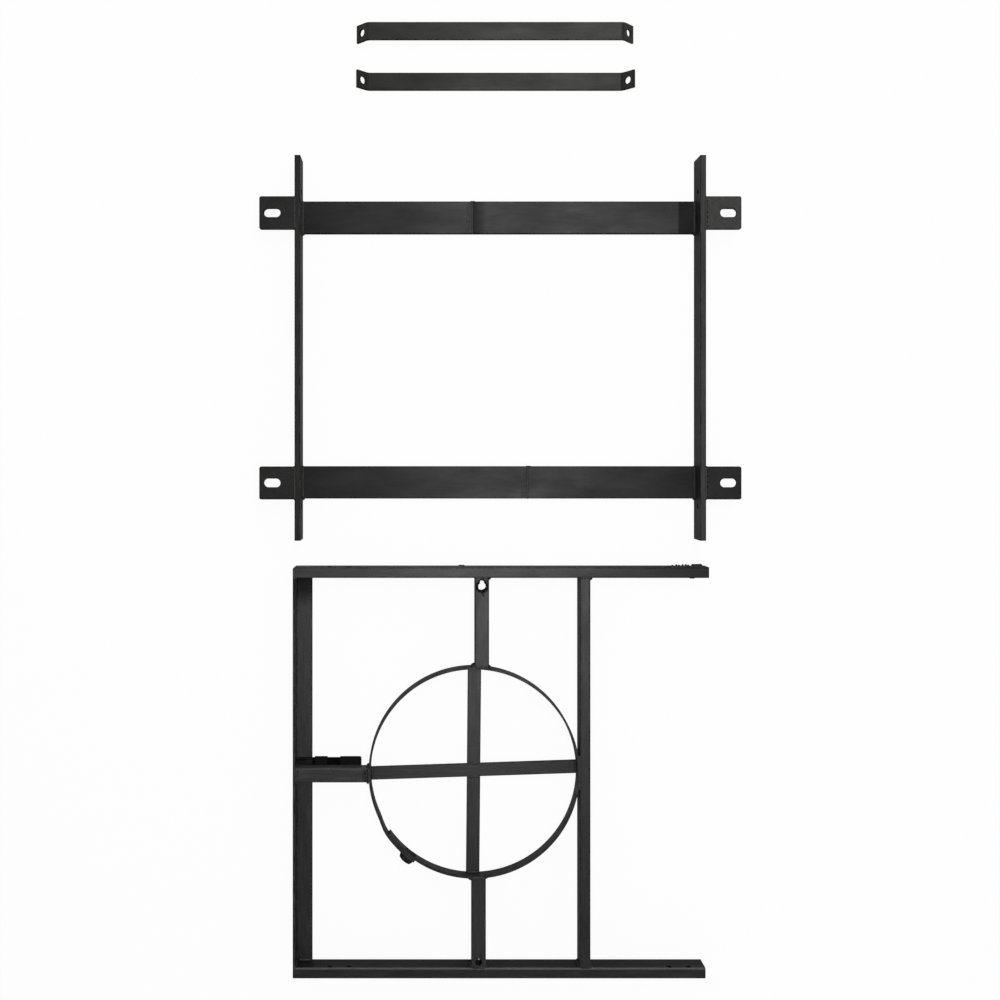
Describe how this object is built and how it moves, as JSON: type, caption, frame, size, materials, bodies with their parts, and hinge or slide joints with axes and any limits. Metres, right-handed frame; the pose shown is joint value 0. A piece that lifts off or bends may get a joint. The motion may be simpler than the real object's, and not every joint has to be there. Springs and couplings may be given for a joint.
{
  "type": "window security guard kit",
  "caption": "Welded steel window guard with a ring and cross, its slotted mounting frame and two bent stay straps, laid flat as a kit, with a small slide latch.",
  "frame": {"origin": "on the floor, under the middle of the box round the whole kit as it lies flat", "axes": "+X across the window to the right, +Y up the window, +Z out of the wall and up from the floor that the kit lies on"},
  "size_m": [0.671, 1.344, 0.04],
  "materials": {
    "frame_steel": "satin black paint over welded flat bar",
    "guard_steel": "satin black paint over welded steel tube, angle and strip",
    "strap_steel": "satin olive-black paint over bent flat bar",
    "latch_steel": "matte deep black",
    "fastener_steel": "painted-over black bolt and nut"
  },
  "bodies": {
    "mounting_frame": {"post_left": "frame_steel", "post_right": "frame_steel", "upper_bar_left": "frame_steel", "upper_bar_right": "frame_steel", "lower_bar_left": "frame_steel", "lower_bar_right": "frame_steel", "ear_upper_left": "frame_steel", "ear_upper_right": "frame_steel", "ear_lower_left": "frame_steel", "ear_lower_right": "frame_steel"},
    "guard": {"top_rail": "guard_steel", "bottom_rail": "guard_steel", "rail_end_plates": "guard_steel", "left_stile": "guard_steel", "right_stile": "guard_steel", "upper_tube": "guard_steel", "lower_tube": "guard_steel", "stub_tube": "guard_steel", "ring_band": "guard_steel", "ring_bolt": "fastener_steel", "ring_nut": "fastener_steel", "cross_strip_across": "guard_steel", "cross_strip_upper": "guard_steel", "cross_strip_lower": "guard_steel", "latch_plate": "latch_steel", "latch_rivets": "latch_steel", "latch_guide_outer": "latch_steel", "latch_guide_inner": "latch_steel"},
    "latch": {"latch_bolt": "latch_steel", "latch_knob": "latch_steel"},
    "upper_strap": {"strap_upper": "strap_steel"},
    "lower_strap": {"strap_lower": "strap_steel"}
  },
  "joints": [
    {"name": "guard_lift", "type": "slide", "parent": "mounting_frame", "child": "guard", "axis": [0, 0, 1], "range_m": [0, 0.12]},
    {"name": "latch_slide", "type": "slide", "parent": "guard", "child": "latch", "axis": [-1, 0, 0], "range_m": [0, 0.018]},
    {"name": "upper_strap_lift", "type": "slide", "parent": "mounting_frame", "child": "upper_strap", "axis": [0, 0, 1], "range_m": [0, 0.12]},
    {"name": "lower_strap_lift", "type": "slide", "parent": "mounting_frame", "child": "lower_strap", "axis": [0, 0, 1], "range_m": [0, 0.12]}
  ]
}
